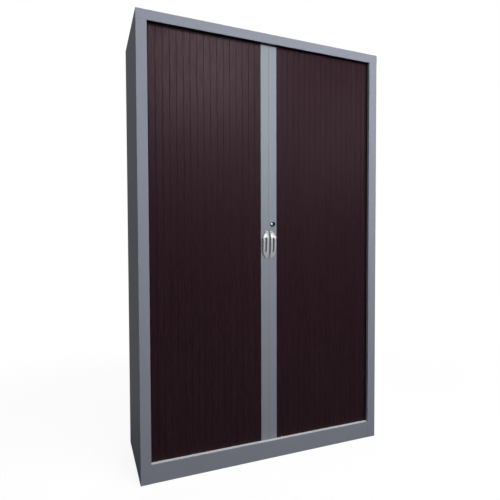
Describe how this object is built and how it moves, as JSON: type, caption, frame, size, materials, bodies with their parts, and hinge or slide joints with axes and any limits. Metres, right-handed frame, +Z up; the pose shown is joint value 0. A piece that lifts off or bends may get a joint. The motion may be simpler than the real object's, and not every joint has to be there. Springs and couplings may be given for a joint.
{
  "type": "roll front cabinet",
  "caption": "Tall steel cupboard with two side-opening slatted roll fronts, bow pulls, a cam lock and adjustable shelves.",
  "frame": {"origin": "on the floor, in the middle of the cupboard's width and depth", "axes": "+Z up, +Y to the back, +X to the right as seen from the front"},
  "size_m": [1.2, 0.43, 1.98],
  "materials": {
    "grey_epoxy": "satin",
    "grey_aluminium": "satin",
    "wenge_plastic": "satin",
    "pale_plastic": "satin",
    "black_plastic": "matt",
    "bright_chrome": "satin",
    "lock_core": "satin",
    "zinc_plated": "satin"
  },
  "bodies": {
    "carcass": {"left_side_panel": "grey_epoxy", "right_side_panel": "grey_epoxy", "top_panel": "grey_epoxy", "base_panel": "grey_epoxy", "back_panel": "grey_epoxy", "inner_back": "grey_epoxy", "left_liner": "grey_epoxy", "right_liner": "grey_epoxy", "shelf_1": "grey_epoxy", "shelf_2": "grey_epoxy", "shelf_3": "grey_epoxy", "shelf_4": "grey_epoxy", "shelf_clips": "zinc_plated", "bottom_track": "pale_plastic", "top_track": "black_plastic"},
    "left_door": {"left_leading_profile": "grey_aluminium", "left_end_glides": "black_plastic", "left_handle": "bright_chrome"},
    "right_door": {"right_leading_profile": "grey_aluminium", "right_end_glides": "black_plastic", "right_handle": "bright_chrome", "lock_housing": "bright_chrome"},
    "lock_cylinder": {"lock_plug": "lock_core", "lock_hook": "zinc_plated"},
    "left_slat_01": {"left_slat_01": "wenge_plastic"},
    "left_slat_02": {"left_slat_02": "wenge_plastic"},
    "left_slat_03": {"left_slat_03": "wenge_plastic"},
    "left_slat_04": {"left_slat_04": "wenge_plastic"},
    "left_slat_05": {"left_slat_05": "wenge_plastic"},
    "left_slat_06": {"left_slat_06": "wenge_plastic"},
    "left_slat_07": {"left_slat_07": "wenge_plastic"},
    "left_slat_08": {"left_slat_08": "wenge_plastic"},
    "left_slat_09": {"left_slat_09": "wenge_plastic"},
    "left_slat_10": {"left_slat_10": "wenge_plastic"},
    "left_slat_11": {"left_slat_11": "wenge_plastic"},
    "left_slat_12": {"left_slat_12": "wenge_plastic"},
    "left_slat_13": {"left_slat_13": "wenge_plastic"},
    "left_slat_14": {"left_slat_14": "wenge_plastic"},
    "left_slat_15": {"left_slat_15": "wenge_plastic"},
    "left_slat_16": {"left_slat_16": "wenge_plastic"},
    "left_slat_17": {"left_slat_17": "wenge_plastic"},
    "left_slat_18": {"left_slat_18": "wenge_plastic"},
    "right_slat_01": {"right_slat_01": "wenge_plastic"},
    "right_slat_02": {"right_slat_02": "wenge_plastic"},
    "right_slat_03": {"right_slat_03": "wenge_plastic"},
    "right_slat_04": {"right_slat_04": "wenge_plastic"},
    "right_slat_05": {"right_slat_05": "wenge_plastic"},
    "right_slat_06": {"right_slat_06": "wenge_plastic"},
    "right_slat_07": {"right_slat_07": "wenge_plastic"},
    "right_slat_08": {"right_slat_08": "wenge_plastic"},
    "right_slat_09": {"right_slat_09": "wenge_plastic"},
    "right_slat_10": {"right_slat_10": "wenge_plastic"},
    "right_slat_11": {"right_slat_11": "wenge_plastic"},
    "right_slat_12": {"right_slat_12": "wenge_plastic"},
    "right_slat_13": {"right_slat_13": "wenge_plastic"},
    "right_slat_14": {"right_slat_14": "wenge_plastic"},
    "right_slat_15": {"right_slat_15": "wenge_plastic"},
    "right_slat_16": {"right_slat_16": "wenge_plastic"},
    "right_slat_17": {"right_slat_17": "wenge_plastic"},
    "right_slat_18": {"right_slat_18": "wenge_plastic"}
  },
  "joints": [
    {"name": "left_door_slide", "type": "slide", "parent": "carcass", "child": "left_door", "axis": [-1, 0, 0], "range_m": [0, 0.515]},
    {"name": "right_door_slide", "type": "slide", "parent": "carcass", "child": "right_door", "axis": [1, 0, 0], "range_m": [0, 0.515]},
    {"name": "lock_turn", "type": "hinge", "parent": "right_door", "child": "lock_cylinder", "pos_m": [0.02, -0.195, 1.11], "axis": [0, -1, 0], "range_deg": [0, 90]},
    {"name": "left_slat_01_slide", "type": "slide", "parent": "carcass", "child": "left_slat_01", "axis": [-1, 0, 0], "range_m": [0, 0.515], "deforming": ["left_slat_01"]},
    {"name": "left_slat_02_slide", "type": "slide", "parent": "carcass", "child": "left_slat_02", "axis": [-1, 0, 0], "range_m": [0, 0.48574], "deforming": ["left_slat_02"]},
    {"name": "left_slat_03_slide", "type": "slide", "parent": "carcass", "child": "left_slat_03", "axis": [-1, 0, 0], "range_m": [0, 0.45647], "deforming": ["left_slat_03"]},
    {"name": "left_slat_04_slide", "type": "slide", "parent": "carcass", "child": "left_slat_04", "axis": [-1, 0, 0], "range_m": [0, 0.42721], "deforming": ["left_slat_04"]},
    {"name": "left_slat_05_slide", "type": "slide", "parent": "carcass", "child": "left_slat_05", "axis": [-1, 0, 0], "range_m": [0, 0.39794], "deforming": ["left_slat_05"]},
    {"name": "left_slat_06_slide", "type": "slide", "parent": "carcass", "child": "left_slat_06", "axis": [-1, 0, 0], "range_m": [0, 0.36868], "deforming": ["left_slat_06"]},
    {"name": "left_slat_07_slide", "type": "slide", "parent": "carcass", "child": "left_slat_07", "axis": [-1, 0, 0], "range_m": [0, 0.33941], "deforming": ["left_slat_07"]},
    {"name": "left_slat_08_slide", "type": "slide", "parent": "carcass", "child": "left_slat_08", "axis": [-1, 0, 0], "range_m": [0, 0.31015], "deforming": ["left_slat_08"]},
    {"name": "left_slat_09_slide", "type": "slide", "parent": "carcass", "child": "left_slat_09", "axis": [-1, 0, 0], "range_m": [0, 0.28088], "deforming": ["left_slat_09"]},
    {"name": "left_slat_10_slide", "type": "slide", "parent": "carcass", "child": "left_slat_10", "axis": [-1, 0, 0], "range_m": [0, 0.25162], "deforming": ["left_slat_10"]},
    {"name": "left_slat_11_slide", "type": "slide", "parent": "carcass", "child": "left_slat_11", "axis": [-1, 0, 0], "range_m": [0, 0.22235], "deforming": ["left_slat_11"]},
    {"name": "left_slat_12_slide", "type": "slide", "parent": "carcass", "child": "left_slat_12", "axis": [-1, 0, 0], "range_m": [0, 0.19309], "deforming": ["left_slat_12"]},
    {"name": "left_slat_13_slide", "type": "slide", "parent": "carcass", "child": "left_slat_13", "axis": [-1, 0, 0], "range_m": [0, 0.16382], "deforming": ["left_slat_13"]},
    {"name": "left_slat_14_slide", "type": "slide", "parent": "carcass", "child": "left_slat_14", "axis": [-1, 0, 0], "range_m": [0, 0.13456], "deforming": ["left_slat_14"]},
    {"name": "left_slat_15_slide", "type": "slide", "parent": "carcass", "child": "left_slat_15", "axis": [-1, 0, 0], "range_m": [0, 0.10529], "deforming": ["left_slat_15"]},
    {"name": "left_slat_16_slide", "type": "slide", "parent": "carcass", "child": "left_slat_16", "axis": [-1, 0, 0], "range_m": [0, 0.07603], "deforming": ["left_slat_16"]},
    {"name": "left_slat_17_slide", "type": "slide", "parent": "carcass", "child": "left_slat_17", "axis": [-1, 0, 0], "range_m": [0, 0.04677], "deforming": ["left_slat_17"]},
    {"name": "left_slat_18_slide", "type": "slide", "parent": "carcass", "child": "left_slat_18", "axis": [-1, 0, 0], "range_m": [0, 0.0175], "deforming": ["left_slat_18"]},
    {"name": "right_slat_01_slide", "type": "slide", "parent": "carcass", "child": "right_slat_01", "axis": [1, 0, 0], "range_m": [0, 0.515], "deforming": ["right_slat_01"]},
    {"name": "right_slat_02_slide", "type": "slide", "parent": "carcass", "child": "right_slat_02", "axis": [1, 0, 0], "range_m": [0, 0.48574], "deforming": ["right_slat_02"]},
    {"name": "right_slat_03_slide", "type": "slide", "parent": "carcass", "child": "right_slat_03", "axis": [1, 0, 0], "range_m": [0, 0.45647], "deforming": ["right_slat_03"]},
    {"name": "right_slat_04_slide", "type": "slide", "parent": "carcass", "child": "right_slat_04", "axis": [1, 0, 0], "range_m": [0, 0.42721], "deforming": ["right_slat_04"]},
    {"name": "right_slat_05_slide", "type": "slide", "parent": "carcass", "child": "right_slat_05", "axis": [1, 0, 0], "range_m": [0, 0.39794], "deforming": ["right_slat_05"]},
    {"name": "right_slat_06_slide", "type": "slide", "parent": "carcass", "child": "right_slat_06", "axis": [1, 0, 0], "range_m": [0, 0.36868], "deforming": ["right_slat_06"]},
    {"name": "right_slat_07_slide", "type": "slide", "parent": "carcass", "child": "right_slat_07", "axis": [1, 0, 0], "range_m": [0, 0.33941], "deforming": ["right_slat_07"]},
    {"name": "right_slat_08_slide", "type": "slide", "parent": "carcass", "child": "right_slat_08", "axis": [1, 0, 0], "range_m": [0, 0.31015], "deforming": ["right_slat_08"]},
    {"name": "right_slat_09_slide", "type": "slide", "parent": "carcass", "child": "right_slat_09", "axis": [1, 0, 0], "range_m": [0, 0.28088], "deforming": ["right_slat_09"]},
    {"name": "right_slat_10_slide", "type": "slide", "parent": "carcass", "child": "right_slat_10", "axis": [1, 0, 0], "range_m": [0, 0.25162], "deforming": ["right_slat_10"]},
    {"name": "right_slat_11_slide", "type": "slide", "parent": "carcass", "child": "right_slat_11", "axis": [1, 0, 0], "range_m": [0, 0.22235], "deforming": ["right_slat_11"]},
    {"name": "right_slat_12_slide", "type": "slide", "parent": "carcass", "child": "right_slat_12", "axis": [1, 0, 0], "range_m": [0, 0.19309], "deforming": ["right_slat_12"]},
    {"name": "right_slat_13_slide", "type": "slide", "parent": "carcass", "child": "right_slat_13", "axis": [1, 0, 0], "range_m": [0, 0.16382], "deforming": ["right_slat_13"]},
    {"name": "right_slat_14_slide", "type": "slide", "parent": "carcass", "child": "right_slat_14", "axis": [1, 0, 0], "range_m": [0, 0.13456], "deforming": ["right_slat_14"]},
    {"name": "right_slat_15_slide", "type": "slide", "parent": "carcass", "child": "right_slat_15", "axis": [1, 0, 0], "range_m": [0, 0.10529], "deforming": ["right_slat_15"]},
    {"name": "right_slat_16_slide", "type": "slide", "parent": "carcass", "child": "right_slat_16", "axis": [1, 0, 0], "range_m": [0, 0.07603], "deforming": ["right_slat_16"]},
    {"name": "right_slat_17_slide", "type": "slide", "parent": "carcass", "child": "right_slat_17", "axis": [1, 0, 0], "range_m": [0, 0.04677], "deforming": ["right_slat_17"]},
    {"name": "right_slat_18_slide", "type": "slide", "parent": "carcass", "child": "right_slat_18", "axis": [1, 0, 0], "range_m": [0, 0.0175], "deforming": ["right_slat_18"]}
  ],
  "couplings": [
    {"joint": "left_slat_01_slide", "follows": "left_door_slide", "ratio": 1},
    {"joint": "left_slat_02_slide", "follows": "left_door_slide", "ratio": 0.94317},
    {"joint": "left_slat_03_slide", "follows": "left_door_slide", "ratio": 0.88635},
    {"joint": "left_slat_04_slide", "follows": "left_door_slide", "ratio": 0.82953},
    {"joint": "left_slat_05_slide", "follows": "left_door_slide", "ratio": 0.7727},
    {"joint": "left_slat_06_slide", "follows": "left_door_slide", "ratio": 0.71588},
    {"joint": "left_slat_07_slide", "follows": "left_door_slide", "ratio": 0.65905},
    {"joint": "left_slat_08_slide", "follows": "left_door_slide", "ratio": 0.60223},
    {"joint": "left_slat_09_slide", "follows": "left_door_slide", "ratio": 0.5454},
    {"joint": "left_slat_10_slide", "follows": "left_door_slide", "ratio": 0.48858},
    {"joint": "left_slat_11_slide", "follows": "left_door_slide", "ratio": 0.43175},
    {"joint": "left_slat_12_slide", "follows": "left_door_slide", "ratio": 0.37493},
    {"joint": "left_slat_13_slide", "follows": "left_door_slide", "ratio": 0.3181},
    {"joint": "left_slat_14_slide", "follows": "left_door_slide", "ratio": 0.26128},
    {"joint": "left_slat_15_slide", "follows": "left_door_slide", "ratio": 0.20445},
    {"joint": "left_slat_16_slide", "follows": "left_door_slide", "ratio": 0.14763},
    {"joint": "left_slat_17_slide", "follows": "left_door_slide", "ratio": 0.090805},
    {"joint": "left_slat_18_slide", "follows": "left_door_slide", "ratio": 0.033981},
    {"joint": "right_slat_01_slide", "follows": "right_door_slide", "ratio": 1},
    {"joint": "right_slat_02_slide", "follows": "right_door_slide", "ratio": 0.94317},
    {"joint": "right_slat_03_slide", "follows": "right_door_slide", "ratio": 0.88635},
    {"joint": "right_slat_04_slide", "follows": "right_door_slide", "ratio": 0.82953},
    {"joint": "right_slat_05_slide", "follows": "right_door_slide", "ratio": 0.7727},
    {"joint": "right_slat_06_slide", "follows": "right_door_slide", "ratio": 0.71588},
    {"joint": "right_slat_07_slide", "follows": "right_door_slide", "ratio": 0.65905},
    {"joint": "right_slat_08_slide", "follows": "right_door_slide", "ratio": 0.60223},
    {"joint": "right_slat_09_slide", "follows": "right_door_slide", "ratio": 0.5454},
    {"joint": "right_slat_10_slide", "follows": "right_door_slide", "ratio": 0.48858},
    {"joint": "right_slat_11_slide", "follows": "right_door_slide", "ratio": 0.43175},
    {"joint": "right_slat_12_slide", "follows": "right_door_slide", "ratio": 0.37493},
    {"joint": "right_slat_13_slide", "follows": "right_door_slide", "ratio": 0.3181},
    {"joint": "right_slat_14_slide", "follows": "right_door_slide", "ratio": 0.26128},
    {"joint": "right_slat_15_slide", "follows": "right_door_slide", "ratio": 0.20445},
    {"joint": "right_slat_16_slide", "follows": "right_door_slide", "ratio": 0.14763},
    {"joint": "right_slat_17_slide", "follows": "right_door_slide", "ratio": 0.090805},
    {"joint": "right_slat_18_slide", "follows": "right_door_slide", "ratio": 0.033981}
  ]
}
